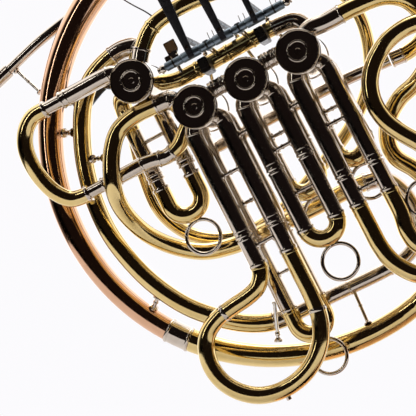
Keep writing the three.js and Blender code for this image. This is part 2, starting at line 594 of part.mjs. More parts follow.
/** A curved hook for the little finger, on the change valve's loop. */
function fingerHook() {
  const base = at(104, -82.6, 29);
  const points = smooth([base, at(105, -92, 26), at(107, -106, 20), at(116, -114, 12),
    at(126, -110, 6), at(128, -100, 4)], 8);
  return tube(points, 2.6, 2.5, 8);
}
add('finger_hook', fingerHook(), nickel);

// The origin is on the floor, under the middle of the whole instrument.
const extent = new THREE.Box3().setFromObject(horn);
const middle = extent.getCenter(new THREE.Vector3());
horn.position.set(-middle.x, -middle.y, -extent.min.z);

export default horn;
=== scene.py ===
"""Double French horn: visual model over the CAD frame, drawn in horn millimetres."""

import math

import bmesh
import bpy
from mathutils import Matrix, Vector


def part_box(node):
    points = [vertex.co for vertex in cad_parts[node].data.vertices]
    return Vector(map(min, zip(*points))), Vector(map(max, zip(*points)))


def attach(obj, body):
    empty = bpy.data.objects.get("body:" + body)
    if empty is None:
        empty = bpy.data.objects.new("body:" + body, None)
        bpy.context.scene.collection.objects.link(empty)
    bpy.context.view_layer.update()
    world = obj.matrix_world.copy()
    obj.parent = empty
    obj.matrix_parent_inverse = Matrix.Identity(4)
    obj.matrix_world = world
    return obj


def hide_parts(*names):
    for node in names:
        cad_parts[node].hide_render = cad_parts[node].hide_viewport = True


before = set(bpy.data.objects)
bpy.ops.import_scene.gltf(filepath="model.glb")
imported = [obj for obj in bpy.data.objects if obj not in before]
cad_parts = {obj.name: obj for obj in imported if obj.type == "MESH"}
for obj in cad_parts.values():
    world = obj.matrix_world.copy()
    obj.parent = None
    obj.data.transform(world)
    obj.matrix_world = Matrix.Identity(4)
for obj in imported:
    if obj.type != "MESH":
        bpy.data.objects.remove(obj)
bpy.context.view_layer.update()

# ---- driving dimensions, in millimetres ------------------------------------
ROW_TILT = math.radians(27)
FRONT_DECK = 18
REAR_DECK = 47
LEG_HALF = 13.7
LEG_R = 7.1
SLIDE_R = 5.9
RING_R = 14.5
RING_WIRE = 1.6
BELL_X, BELL_Z = 50, -14
BELL_LOOP_R = 191.5
BELL_DEPTH = 66
BELL_RIM_R = 155
BELL_RIM_Z = -372
BELL_INSET = 12
TAIL_START = 243
THROAT_R = 20
TUNING_U = -49.5
TUNING_HALF = 14.5
HINGE_V = -38.5
CRANK_V = -53
LINK_Y = 75
FRONT_CLEAR, BACK_CLEAR, ROTOR_CLEAR = 5, 62, 15.7
THUMB_U, THUMB_V, THUMB_Y = -70, -66, 79
MILL_CUT, MILL_FROM = 0.28, 17.95
FLOOR_R = 0.82
VALVES = {"change": (-37, -43), "valve1": (0, 0), "valve2": (47, 0), "valve3": (94, 0)}
SIDES = 32

low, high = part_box("valve1_cap")
ORIGIN = Vector(((low.x + high.x) / 2, low.y, (low.z + high.z) / 2))


def at(u, v, y):
    """A point by u along the valve row, v down the slides and depth y behind the caps."""
    c, s = math.cos(ROW_TILT), math.sin(ROW_TILT)
    return Vector((u * c + v * s, y, u * s - v * c))


def p(x, z, y):
    return Vector((x, y, z))


ROW = at(1, 0, 0)
DOWN = at(0, 1, 0)
DEPTH = Vector((0, 1, 0))


# ---- lines -----------------------------------------------------------------
def length(points):
    return sum((b - a).length for a, b in zip(points, points[1:]))


def resample(points, step=1.6):
    """The line through points as evenly spaced points."""
    count = max(2, round(length(points) / step))
    gap = length(points) / count
    made, walked, goal = [points[0].copy()], 0.0, gap
    for a, b in zip(points, points[1:]):
        span = (b - a).length
        while span and walked + span >= goal - 1e-6 and len(made) < count:
            made.append(a.lerp(b, (goal - walked) / span))
            goal += gap
        walked += span
    return made + [points[-1].copy()]


def smooth(points, step=1.6):
    """A centripetal Catmull-Rom curve through points, evenly spaced."""
    ends = [2 * points[0] - points[1], *points, 2 * points[-1] - points[-2]]
    dense = []
    for a, b, c, d in zip(ends, ends[1:], ends[2:], ends[3:]):
        k0, k1, k2 = ((y - x).length ** 0.5 for x, y in ((a, b), (b, c), (c, d)))
        m1 = ((b - a) / k0 - (c - a) / (k0 + k1) + (c - b) / k1) * k1
        m2 = ((c - b) / k1 - (d - b) / (k1 + k2) + (d - c) / k2) * k1
        for i in range(20):
            t = i / 20
            dense.append(
                (2 * t**3 - 3 * t**2 + 1) * b
                + (t**3 - 2 * t**2 + t) * m1
                + (3 * t**2 - 2 * t**3) * c
                + (t**3 - t**2) * m2
            )
    return resample(dense + [points[-1]], step)


def arc(centre, radius, e, f, a, b, count=28):
    """Points about centre from angle a to b, in the plane of unit vectors e and f."""
    made = []
    for i in range(count + 1):
        t = math.radians(a + (b - a) * i / count)
        made.append(centre + radius * (math.cos(t) * e + math.sin(t) * f))
    return made


def near(points, x, z):
    """Distance along a line to its point nearest to x, z."""
    walked, best, found = 0.0, 1e9, 0.0
    for i, q in enumerate(points):
        walked += (q - points[i - 1]).length if i else 0
        gap = math.hypot(q.x - x, q.z - z)
        if gap < best:
            best, found = gap, walked
    return found


def part(points, start, end):
    """The stretch of a line between two distances along it."""
    made, walked = [], 0.0
    for a, b in zip(points, points[1:]):
        span = (b - a).length
        if span and walked + span > start and walked < end:
            if not made:
                made.append(a.lerp(b, max(0, (start - walked) / span)))
            made.append(a.lerp(b, min(1, (end - walked) / span)))
        walked += span
    return made


def outside(points):
    """The line without the ends that lie inside a valve's rotor."""

    def hidden(q):
        if not FRONT_CLEAR < q.y < BACK_CLEAR:
            return False
        away = min((q - at(u, v, q.y)).length for u, v in VALVES.values())
        return away < ROTOR_CLEAR

    kept = list(points)
    while len(kept) > 3 and hidden(kept[0]):
        kept.pop(0)
    while len(kept) > 3 and hidden(kept[-1]):
        kept.pop()
    return kept


def carried(points):
    """Direction at each point, and a normal carried along without twist."""
    last = len(points) - 1
    ways = [
        (points[min(i + 1, last)] - points[max(i - 1, 0)]).normalized()
        for i in range(last + 1)
    ]
    normal = ROW if abs(ways[0].y) > 0.9 else DEPTH
    normals = []
    for way in ways:
        normal = (normal - way * normal.dot(way)).normalized()
        normals.append(normal)
    return ways, normals


def circle(centre, way, normal, radius, sides):
    side = way.cross(normal)
    turns = [2 * math.pi * k / sides for k in range(sides)]
    return [centre + radius * (math.cos(t) * normal + math.sin(t) * side) for t in turns]


# ---- one named piece -------------------------------------------------------
class Piece:
    """A mesh gathered from swept, turned and flat shapes, carried by one CAD body."""

    def __init__(self, name, body, slot, *nodes):
        self.name, self.body, self.slot, self.nodes = name, body, slot, nodes
        self.mesh = bmesh.new()
        self.finishes = []

    def index(self, material):
        if material not in self.finishes:
            self.finishes.append(material)
        return self.finishes.index(material)

    def skin(self, rings, material, loop=False):
        """A surface over rings of points, closed by flat ends or into a loop."""
        index = self.index(material)
        rows = [[self.mesh.verts.new(q) for q in ring] for ring in rings]
        n = len(rows[0])
        made = [] if loop else [self.mesh.faces.new(rows[0]), self.mesh.faces.new(rows[-1])]
        for a, b in zip(rows, rows[1:] + rows[:1] if loop else rows[1:]):
            for k in range(n):
                made.append(
                    self.mesh.faces.new((a[k], a[(k + 1) % n], b[(k + 1) % n], b[k]))
                )
        for face in made:
            face.material_index = index
            face.smooth = True

    def tube(self, points, radius, material, sides=SIDES):
        """A round tube; radius is a number or a function of the fraction along it."""
        points = outside(points)
        ways, normals = carried(points)
        last = len(points) - 1
        rings = []
        for i, (q, way, normal) in enumerate(zip(points, ways, normals)):
            r = radius(i / last) if callable(radius) else radius
            rings.append(circle(q, way, normal, r, sides))
        self.skin(rings, material)

    def rod(self, a, b, radius, material, sides=20):
        way = (b - a).normalized()
        edge = min(0.35, radius * 0.3)
        stations = [(a, 1 - edge / radius), (a + way * edge, 1)]
        stations += [(b - way * edge, 1), (b, 1 - edge / radius)]
        _, normals = carried([a, b])
        rings = [circle(q, way, normals[0], radius * k, sides) for q, k in stations]
        self.skin(rings, material)

    def turned(self, profile, centre, way, material, sides=96, notch=None):
        """A turned shape; profile holds (radius, distance) pairs, notch alters a radius."""
        start = ROW if abs(way.y) > 0.9 else DEPTH
        normal = (start - way * start.dot(way)).normalized()
        side = way.cross(normal)
        rings = []
        for r, d in profile:
            ring = []
            for k in range(sides):
                t = 2 * math.pi * k / sides
                reach = notch(r, k) if notch else r
                spoke = math.cos(t) * normal + math.sin(t) * side
                ring.append(centre + way * d + spoke * max(reach, 0.02))
            rings.append(ring)
        self.skin(rings, material, loop=profile[0] == profile[-1])

    def bead(self, points, s, radius, material, width=2.2, height=0.55):
        """A rounded ring around a tube at a distance along it."""
        s = min(max(s, width / 2), length(points) - width / 2)
        line = part(points, s - width / 2, s + width / 2)
        way = (line[-1] - line[0]).normalized()
        centre = (line[0] + line[-1]) / 2
        shape = [(-0.5, -0.3), (-0.5, 0.45), (-0.28, 0.95), (0, 1.1), (0.28, 0.95)]
        shape += [(0.5, 0.45), (0.5, -0.3)]
        profile = [(radius + height * h, width * k) for k, h in shape]
        self.turned(profile, centre, way, material, sides=SIDES)

    def ferrule(self, points, start, end, radius, material, beads=True):
        """A sleeve over a stretch of a tube, with a ring at each end."""
        line = part(points, start, end)
        self.tube(line, radius + 0.35, material)
        if beads:
            self.bead(line, 1.1, radius + 0.35, material)
            self.bead(line, length(line) - 1.1, radius + 0.35, material)

    def stay(self, a, b, radius=1.6):
        """A short turned post between two tubes, with a flange at each end."""
        way = (b - a).normalized()
        self.rod(a, b, radius, NICKEL)
        for q, k in ((a, way), (b, -way)):
            foot = [(radius * 2.4, -0.5), (radius * 2.3, 0.5), (radius * 1.6, 1.1), (radius, 1.5)]
            self.turned(foot, q, k, NICKEL, sides=32)
        middle = (a + b) / 2
        self.rod(middle - way * 0.8, middle + way * 0.8, radius * 1.4, NICKEL)

    def bar(self, sections, material, corner=0.7):
        """A lofted bar of rounded sections (u, v, y, half width, half thickness)."""
        rings = []
        for u, v, y, wide, thick in sections:
            r = min(corner, wide * 0.9, thick * 0.9)
            ring = []
            for cx, cy, start in ((1, 1, 0), (-1, 1, 90), (-1, -1, 180), (1, -1, 270)):
                for k in range(4):
                    t = math.radians(start + 30 * k)
                    du = cx * (wide - r) + r * math.cos(t)
                    dy = cy * (thick - r) + r * math.sin(t)
                    ring.append(at(u + du, v, y + dy))
            rings.append(ring)
        self.skin(rings, material)

    def block(self, centre, along, deep, down, material, bevel=0.5):
        """A box along the row, the depth and the slides, with worn edges."""
        index = self.index(material)
        basis = Matrix((ROW, DEPTH, -DOWN)).transposed().to_4x4()
        place = Matrix.Translation(centre) @ basis @ Matrix.Diagonal((along, deep, down, 1))
        made = bmesh.ops.create_cube(self.mesh, size=1, matrix=place)["verts"]
        for face in {f for v in made for f in v.link_faces}:
            face.material_index = index
        edges = list({e for v in made for e in v.link_edges})
        bmesh.ops.bevel(self.mesh, geom=edges, offset=bevel, segments=2, affect="EDGES")

    def plate(self, corners, front, thickness, material, bevel=0.4):
        """A flat plate in the row plane from (u, v) corners."""
        index = self.index(material)
        a = [self.mesh.verts.new(at(u, v, front)) for u, v in corners]
        b = [self.mesh.verts.new(at(u, v, front + thickness)) for u, v in corners]
        faces = [self.mesh.faces.new(a), self.mesh.faces.new(b)]
        for k in range(len(a)):
            j = (k + 1) % len(a)
            faces.append(self.mesh.faces.new((a[k], a[j], b[j], b[k])))
        for face in faces:
            face.material_index = index
        edges = list({e for f in faces for e in f.edges})
        bmesh.ops.bevel(self.mesh, geom=edges, offset=bevel, segments=2, affect="EDGES")

    def ball(self, centre, radius, material):
        index = self.index(material)
        made = bmesh.ops.create_uvsphere(
            self.mesh,
            u_segments=24,
            v_segments=14,
            radius=radius,
            matrix=Matrix.Translation(centre),
        )["verts"]
        for face in {f for v in made for f in v.link_faces}:
            face.material_index = index
            face.smooth = True

    def ring(self, centre, radius, wire, material, e=ROW, f=DOWN):
        """A wire ring in the plane of e and f."""
        way = e.cross(f)
        rings = []
        for q in arc(centre, radius, e, f, 0, 360, 72)[:-1]:
            out = (q - centre).normalized()
            rings.append(circle(q, out.cross(way), out, wire, 16))
        self.skin(rings, material, loop=True)

    def done(self):
        bmesh.ops.recalc_face_normals(self.mesh, faces=self.mesh.faces)
        for vert in self.mesh.verts:
            vert.co = ORIGIN + vert.co / 1000
        data = bpy.data.meshes.new(self.name)
        self.mesh.to_mesh(data)
        self.mesh.free()
        for material in self.finishes:
            data.materials.append(material)
        data.set_sharp_from_angle(angle=math.radians(38))
        made = bpy.data.objects.new(self.name, data)
        bpy.context.scene.collection.objects.link(made)
        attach(made, self.body)
        if self.nodes:
            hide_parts(*self.nodes)


# ---- materials -------------------------------------------------------------
def metal(name, tone, shade, roughness, metallic=1.0, grain=0.05, coat=0.0):
    """Worked metal: clouded tone, uneven polish and fine scratches."""
    made = bpy.data.materials.new(name)
    made.use_nodes = True
    tree = made.node_tree
    shader = tree.nodes["Principled BSDF"]
    shader.inputs["Metallic"].default_value = metallic
    shader.inputs["Coat Weight"].default_value = coat
    place = tree.nodes.new("ShaderNodeTexCoord")

    def noise(scale, detail, source):
        node = tree.nodes.new("ShaderNodeTexNoise")
        node.inputs["Scale"].default_value = scale
        node.inputs["Detail"].default_value = detail
        tree.links.new(source, node.inputs["Vector"])
        return node.outputs["Fac"]

    cloud = noise(55, 5, place.outputs["Object"])
    mix = tree.nodes.new("ShaderNodeValToRGB")
    mix.color_ramp.elements[0].position = 0.3
    mix.color_ramp.elements[0].color = (*shade, 1)
    mix.color_ramp.elements[1].position = 0.62
    mix.color_ramp.elements[1].color = (*tone, 1)
    tree.links.new(cloud, mix.inputs["Fac"])
    tree.links.new(mix.outputs["Color"], shader.inputs["Base Color"])

    smear = noise(260, 6, place.outputs["Object"])
    polish = tree.nodes.new("ShaderNodeMapRange")
    polish.inputs["From Min"].default_value = 0.3
    polish.inputs["From Max"].default_value = 0.7
    polish.inputs["To Min"].default_value = roughness * 0.7
    polish.inputs["To Max"].default_value = roughness * 1.5
    tree.links.new(smear, polish.inputs["Value"])
    tree.links.new(polish.outputs["Result"], shader.inputs["Roughness"])

    stretch = tree.nodes.new("ShaderNodeMapping")
    stretch.inputs["Scale"].default_value = (9, 1, 14)
    stretch.inputs["Rotation"].default_value = (0.3, 0.47, 0.2)
    tree.links.new(place.outputs["Object"], stretch.inputs["Vector"])
    scratches = noise(220, 8, stretch.outputs["Vector"])
    bump = tree.nodes.new("ShaderNodeBump")
    bump.inputs["Strength"].default_value = grain
    bump.inputs["Distance"].default_value = 0.0002
    tree.links.new(scratches, bump.inputs["Height"])
    tree.links.new(bump.outputs["Normal"], shader.inputs["Normal"])
    return made


NICKEL = metal("nickel_silver", (0.63, 0.56, 0.47), (0.56, 0.48, 0.39), 0.09)
CAP_NICKEL = metal("cap_nickel", (0.60, 0.54, 0.46), (0.5, 0.44, 0.36), 0.045, 1.0, 0.015)
BRASS = metal("yellow_brass", (0.75, 0.58, 0.26), (0.69, 0.51, 0.20), 0.085)
ROSE = metal("rose_brass", (0.70, 0.43, 0.27), (0.65, 0.38, 0.225), 0.085)
LEVER = metal("dark_lever", (0.036, 0.034, 0.038), (0.026, 0.024, 0.027), 0.42, 0.25, 0.12)
BLUED = metal("blued_steel", (0.24, 0.29, 0.33), (0.17, 0.21, 0.24), 0.34)
SILVER = metal("silver_plate", (0.84, 0.82, 0.78), (0.76, 0.73, 0.67), 0.07)
CORK = metal("cork_bumper", (0.30, 0.17, 0.08), (0.19, 0.10, 0.05), 0.8, 0.0, 0.5)
BLACKED = metal("blacked_brass", (0.05, 0.042, 0.036), (0.03, 0.025, 0.022), 0.3, 0.8)


# ---- bell ------------------------------------------------------------------
def on_bell_loop(degrees):
    """A point of the bell circle, by angle from +X; it turns in towards the throat."""
    a = math.radians(degrees)
    r = BELL_LOOP_R - BELL_INSET * (max(0, 90 - degrees) / 90) ** 1.5
    return p(BELL_X + r * math.cos(a), BELL_Z + r * math.sin(a), BELL_DEPTH)


def bell_loop(a, b, step=1.0):
    count = max(2, round(abs(b - a) / step))
    return [on_bell_loop(a + (b - a) * i / count) for i in range(count + 1)]


BELL_AXIS_X = BELL_X + BELL_LOOP_R - BELL_INSET
THROAT_Z = BELL_Z - 12


def bell_tail():
    piece = Piece("bell_tail_tube", "horn_body", "rose_brass", "bell_tail")
    line = resample([*bell_loop(TAIL_START, 0), p(BELL_AXIS_X, THROAT_Z, BELL_DEPTH)], 3)
    piece.tube(line, lambda t: 9.6 + 2.4 * t + (THROAT_R - 12) * t**1.7, ROSE, sides=48)
    piece.done()


def bell_flare():
    piece = Piece("bell_flare_shell", "horn_body", "rose_brass", "bell_flare")
    top = THROAT_Z - BELL_RIM_Z - 0.3
    outer = [(THROAT_R, top), (21.5, 300), (25, 245), (31, 190), (40.5, 140), (54, 96)]
    outer += [(74, 58), (100, 30), (130, 13), (151, 5.2)]
    line = smooth([Vector((r, 0, z)) for r, z in outer], 4)
    shell = [(q.x, q.z) for q in line]
    inside = [(r - 0.7, z - 0.2 - 0.5 * r / BELL_RIM_R) for r, z in reversed(shell)]
    rim = [(153.4, 4.6), (154.7, 3.4), (155, 2.2), (154.6, 0.9), (153.5, 0.1), (150.5, 0)]
    rim += [(149.3, 1), (149.2, 3)]
    centre = p(BELL_AXIS_X, BELL_RIM_Z, BELL_DEPTH)
    profile = [*shell, *rim, *inside[2:], shell[0]]
    piece.turned(profile, centre, Vector((0, 0, 1)), ROSE, sides=144)
    piece.done()


def bell_ferrule():
    piece = Piece("bell_ferrule_sleeve", "horn_body", "nickel_silver", "bell_ferrule")
    line = bell_loop(TAIL_START + 0.15, 249.5, 0.4)
    piece.tube(line, 10.2, NICKEL, sides=48)
    for s in (1.4, length(line) - 1.4):
        piece.bead(line, s, 10.2, NICKEL, 2.4, 0.7)
    piece.done()


# ---- branches --------------------------------------------------------------
BRANCH_RISE = [p(172.5, -161, 65), p(183, -149, 62.5), p(190, -126, 60)]
BRANCH_RISE += [p(191, -100, 60), p(189, -78, 61), p(183, -61, 62), p(172, -50, 60)]
BRANCH_RISE += [p(156, -39.5, 60), p(149.5, -26, 62), p(150.5, -8, 62), p(159, 8, 61)]
BRANCH_RISE += [p(173, 21, 58), p(183, 36, 50), p(186, 54, 38), p(180, 72, 29)]
BRANCH_RISE += [p(168, 83.5, 23), p(151.3, 86.5, 19), p(127.2, 78.6, FRONT_DECK)]
OUTLET_END = [at(122, -12.5, 18), at(109, -13.6, 18), at(101, -10, 18), at(96, -3, 18)]
RISE = smooth(BRANCH_RISE + OUTLET_END)
SPLIT = length(smooth(BRANCH_RISE)) * 5 / 22


def outer_branch():
    piece = Piece("outer_branch_tube", "horn_body", "yellow_brass", "outer_branch")
    line = resample(bell_loop(249.65, 306) + part(RISE, 0, SPLIT))
    piece.tube(line, lambda t: 9.9 - 2 * t, BRASS, sides=40)
    piece.done()


def third_valve_outlet():
    piece = Piece("third_valve_outlet_tube", "horn_body", "yellow_brass", "third_valve_outlet")
    line = part(RISE, SPLIT + 0.4, length(RISE))
    piece.tube(line, 7.3, BRASS)
    piece.ferrule(line, 0, 14, 7.4, NICKEL)
    total = length(line)
    piece.ferrule(line, total - 46, total - 2, 7.3, NICKEL)
    piece.done()


INNER_BRANCH = [at(-40.5, -56, 50), p(-60, 53.5, 51), p(-72, 53, 52), p(-87.4, 43, 52)]
INNER_BRANCH += [p(-101, 27, 52), p(-107.5, 8, 52), p(-109, -18, 52), p(-106, -46, 52)]
INNER_BRANCH += [p(-97.5, -76, 52), p(-84.5, -103, 52), p(-68, -124.5, 52)]
INNER_BRANCH += [p(-48, -144, 52), p(-21, -162, 52), p(1, -171, 54), p(30, -177.5, 58)]
INNER_BRANCH += [p(51, -177, 62), p(66, -172.4, 65)]


def inner_branch():
    piece = Piece("inner_branch_tube", "horn_body", "yellow_brass", "inner_branch")
    line = smooth(INNER_BRANCH, 0.8)
    piece.tube(line, 7.8, BRASS)
    piece.ferrule(line, near(line, -60, 53.5), near(line, -83, 47), 7.8, NICKEL)
    piece.ferrule(line, length(line) - 13, length(line) - 0.3, 7.7, NICKEL)
    piece.done()


def inner_cross_tube():
    piece = Piece("inner_cross_tube_line", "horn_body", "nickel_silver", "inner_cross_tube")
    line = smooth(
        [p(66.8, -172, 65.15), p(76, -168, 67), p(99, -156.5, 70), p(152, -130, 73)]
        + [p(164, -121.5, 75), p(172, -110, 76), p(174, -96, 75), p(170, -80, 73)]
        + [p(161, -66.5, 71), p(152, -59.2, 69.6), p(143.6, -57, 69)]
    )
    piece.tube(line, 6.2, NICKEL)
    for x, z in ((97, -157), (117, -148), (150, -131), (172, -110)):
        piece.bead(line, near(line, x, z), 6.2, NICKEL)
    piece.done()


def first_valve_loop():
    piece = Piece("first_valve_loop_tube", "horn_body", "yellow_brass", "first_valve_loop")
    line = smooth(
        [at(-14, -9, 18), p(-22.7, 6.5, 18), p(-36, 2.4, 18), p(-54, -6, 18)]
        + [p(-67.5, -18, 18), p(-72.8, -35, 17.5), p(-73, -56, 17.5), p(-71.6, -68, 21)]
        + [p(-69, -80, 30), p(-62, -93, 43), p(-50.5, -104.6, 54), p(-31.8, -114, 64)]
        + [p(-7, -118.4, 69), p(18, -113.5, 70), p(43, -103, 70), p(89, -80.5, 69)]
        + [p(127, -61.5, 69), p(141, -57.2, 69)]
    )
    piece.tube(line, 7.3, BRASS)
    piece.ferrule(line, 3, near(line, -36, 2.4), 7.3, NICKEL)
    piece.bead(line, near(line, -24, 6.2), 7.6, NICKEL)
    piece.ferrule(line, length(line) - 12, length(line) - 0.3, 7.3, NICKEL)
    piece.done()


def rear_cross_tube():
    piece = Piece("rear_cross_tube_line", "horn_body", "yellow_brass", "rear_cross_tube")
    line = smooth(
        [at(-26, -38, 34), at(-10, -32, 34), at(10, -31, 34), at(90, -31, 34)]
        + [at(101, -28, 34), at(106, -18, 34), at(101, -9, 34)]
    )
    piece.tube(line, 6.7, BRASS)
    total = length(line)
    piece.ferrule(line, total - 42, total, 6.7, NICKEL)
    for u in (12, 40, 62):
        spot = at(u, -31, 34)
        piece.bead(line, near(line, spot.x, spot.z), 6.7, BRASS, 3.2, 0.7)
    piece.done()


def change_valve_loop():
    piece = Piece("change_valve_loop_tube", "horn_body", "yellow_brass", "change_valve_loop")
    line = smooth(
        [at(-31, -50, 18), p(-46.5, 51, 18), p(-38.5, 67, 18), p(-18.5, 81.5, 20)]
        + [p(12, 95, 24), p(55, 113.5, 29), p(94, 116, 38), p(130, 111, 48)]
        + [p(157, 101, 60), p(173, 88, 70), p(179.5, 73, 76), p(177, 59, 77)]
        + [p(165.5, 48.5, 76), p(150.5, 41.7, 75)]
    )
    piece.tube(line, 7, BRASS)
    piece.ferrule(line, 0, near(line, -47.5, 49), 7, NICKEL)
    piece.bead(line, near(line, -39, 66), 7, BRASS, 2.6, 0.6)
    piece.ferrule(line, near(line, 157, 101), near(line, 173, 88), 7, NICKEL)
    piece.ferrule(line, length(line) - 12, length(line) - 0.3, 6.9, NICKEL)
    piece.done()


def back_branch():
    piece = Piece("back_branch_tube", "horn_body", "nickel_silver", "back_branch")
    line = smooth(
        [p(149.9, 41.4, 75), at(110, 28.2, 75), at(0, 28, 75), at(-10, 28, 74.5)]
        + [at(-20, 25, 71), at(-25, 17, 66), at(-24.5, 6, 60), at(-19, 0, 57)]
        + [at(-12, -1, 57)]
    )
    piece.tube(line, 5.5, NICKEL)
    for s in (12, 50, 96, 134):
        piece.bead(line, s, 5.5, NICKEL)
    piece.done()


# ---- valves ----------------------------------------------------------------
def arc_profile(radius, depth, bulge):
    """The rounded front of a raised ring, as (radius, distance) pairs."""
    turns = [math.radians(-80 + 20 * k) for k in range(9)]
    return [(radius + bulge * math.sin(t), depth - bulge * math.cos(t)) for t in turns]


def valve_cap(name, u, v):
    """Screw cap: raised ring round a small dome, a shallow dish and a milled edge."""
    piece = Piece(f"{name}_cap_disc", "horn_body", "nickel_silver", f"{name}_cap")
    profile = [(0, 1.9), (2.2, 1.95), (2.6, 2.3), (5.4, 2.3), (6.7, 2.5)]
    profile += arc_profile(8, 1.1, 1.0)
    profile += [(9.1, 2.3), (12, 2.3), (16.4, 2.3), (16.75, 1.2)]
    profile += [(16.95, 0.6), (17.2, 0.25), (17.5, 0.3), (17.8, 0.8)]
    profile += [(17.95, 1.6), (18, 1.9), (18, 4.4), (17.6, 5), (0, 5)]

    def milled(r, k):
        return r - MILL_CUT if r > MILL_FROM and k % 2 else r

    piece.turned(profile, at(u, v, 0), DEPTH, CAP_NICKEL, sides=168, notch=milled)
    piece.done()


def valve_casing(name, u, v):
    """Casing with a rolled band at each end and a bearing plate with screws behind."""
    piece = Piece(f"{name}_casing_shell", "horn_body", "nickel_silver", f"{name}_casing")
    profile = [(3.4, 59), (16.2, 59), (16.2, 5.4), (17, 5.4), (18.1, 6), (18.3, 7.4)]
    profile += [(18.1, 8.8), (17.4, 9.3), (17.4, 55.6), (18, 56), (18.2, 57.2), (18, 58.6)]
    profile += [(17.4, 59), (17.2, 61.4), (16.6, 62), (3.4, 62), (3.4, 59)]
    piece.turned(profile, at(u, v, 0), DEPTH, NICKEL, sides=96)
    piece.done()
    trim = Piece(f"{name}_bearing", "horn_body", "nickel_silver")
    collar = [(3.5, 62), (9.4, 62), (9.6, 62.6), (9, 63.6), (6.4, 64), (6, 65.2), (3.5, 65.2)]
    trim.turned([*collar, collar[0]], at(u, v, 0), DEPTH, NICKEL, sides=64)
    for turn in (40, 140, 260):
        spot = arc(at(u, v, 62.1), 13, ROW, DOWN, turn, turn, 1)[0]
        trim.turned([(0, 1.3), (1.2, 1.2), (1.7, 0.7), (1.8, 0)], spot, DEPTH, SILVER, 24)
    trim.done()


def dressed(node, material, bevel=0.25):
    """A CAD node shown as it is, with its material and worn edges."""
    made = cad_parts[node]
    made.data.materials.clear()
    made.data.materials.append(material)
    edge = made.modifiers.new("worn_edges", "BEVEL")
    edge.width = bevel / 1000
    edge.segments = 2
    edge.limit_method = "ANGLE"
    edge.angle_limit = math.radians(40)


def link_tube(name, u):
    """Short tube between the casings of two neighbouring valves."""
    piece = Piece(name, "horn_body", "nickel_silver")
    line = resample([at(u - 8.6, -7.4, FRONT_DECK), at(u + 8.6, -7.4, FRONT_DECK)], 1)
    piece.tube(line, 6.9, NICKEL)
    for s in (3.4, 6.2, 11, 13.8):
        piece.bead(line, s, 6.9, NICKEL, 1.8, 0.5)
    piece.done()


# ---- valve slides ----------------------------------------------------------
def leg_pair(name, valve, deck, end, half, bar):
    """The fixed outer legs of a slide: elbows at the casing, bands and a cross bar."""
    piece = Piece(f"{name}_tubes", "horn_body", "nickel_silver", name)
    u, v = VALVES[valve]
    for side in (-1, 1):
        shoulder = [at(u + side * 4, v + 8.5, deck), at(u + side * 8.5, v + 11, deck)]
        shoulder += [at(u + side * (half - 1.2), v + 15.5, deck)]
        shoulder += [at(u + side * half, v + 22, deck), at(u + side * half, v + 30, deck)]
        line = smooth([*shoulder, at(u + side * half, v + end, deck)], 0.8)
        piece.tube(line, LEG_R, NICKEL)
        total = length(line)
        piece.bead(line, total - 1.2, LEG_R, NICKEL, 2.4, 0.45)
        piece.bead(line, total - 5.4, LEG_R, NICKEL, 1.2, 0.3)
        piece.bead(line, 14, LEG_R, NICKEL, 1.6, 0.35)
    reach = half - LEG_R + 0.4
    piece.stay(at(u - reach, v + bar, deck), at(u + reach, v + bar, deck))
    piece.done()


def leg_stay(name, u):
    """Stay between the legs of two neighbouring valves."""
    piece = Piece(name, "horn_body", "nickel_silver")
    piece.stay(at(u - 3, 35, FRONT_DECK), at(u + 3, 35, FRONT_DECK))
    piece.done()


def collars(piece, line, radius):
    """A nickel band round each end of a slide's bow."""
    for s in (0.1, length(line)):
        piece.bead(line, s, radius, NICKEL, 3, 0.55)


def slide_tube(piece, valve, deck, start, sleeve, bow_top, bow, half=LEG_HALF):
    """Nickel inner legs, full size sleeves below the outer legs, then a brass bow."""
    u, v = VALVES[valve]
    for side in (-1, 1):
        leg = [at(u + side * half, v + start, deck), at(u + side * half, v + bow_top, deck)]
        piece.tube(resample(leg, 4), SLIDE_R, NICKEL)
        cover = [at(u + side * half, v + sleeve, deck), leg[1]]
        piece.tube(resample(cover, 4), LEG_R - 0.15, NICKEL)
        piece.bead(resample(cover, 2), 1.2, LEG_R - 0.15, NICKEL, 2, 0.4)
    line = resample(bow)
    piece.tube(line, LEG_R, BRASS)
    collars(piece, line, LEG_R)
    for s in (5, length(line) - 5):
        piece.bead(line, s, LEG_R, BRASS, 1.2, 0.3)


def pull_ring(piece, centre, down=DOWN):
    """A wire ring on a small soldered foot."""
    piece.ring(centre, RING_R, RING_WIRE, NICKEL)
    top = centre - down * RING_R
    piece.rod(top - down * 2.2, top + down * 0.8, 2.6, NICKEL)


def ringed_slide(name, valve, deck, start, sleeve, bow_top, centre, half=LEG_HALF):
    piece = Piece(f"{name}_bow", f"{name}_body", "yellow_brass", name)
    u, v = VALVES[valve]
    around = arc(at(u, v + centre, deck), half, ROW, DOWN, 180, 0)
    ends = [at(u - half, v + bow_top, deck), at(u + half, v + bow_top, deck)]
    slide_tube(piece, valve, deck, start, sleeve, bow_top, [ends[0], *around, ends[1]], half)
    if bow_top - sleeve > 40:
        reach = half - LEG_R + 0.5
        bar = v + bow_top - 28
        piece.stay(at(u - reach, bar, deck), at(u + reach, bar, deck), 1.3)
    pull_ring(piece, at(u, v + centre + half + LEG_R + RING_R - 0.2, deck))
    piece.done()


BALLOON = [(-13.7, 134), (-13.9, 139), (-16.5, 145), (-23.5, 152), (-33, 155), (-48.5, 157)]
BALLOON += [(-63.3, 159.8), (-76, 166.7), (-83, 177), (-86, 192), (-83, 207)]
BALLOON += [(-74.5, 220), (-62, 229.5), (-48, 233.8), (-32, 233.8), (-17, 229.5)]
BALLOON += [(-4, 221), (6, 209), (12, 194), (13.7, 178), (13.7, 156), (13.7, 134)]


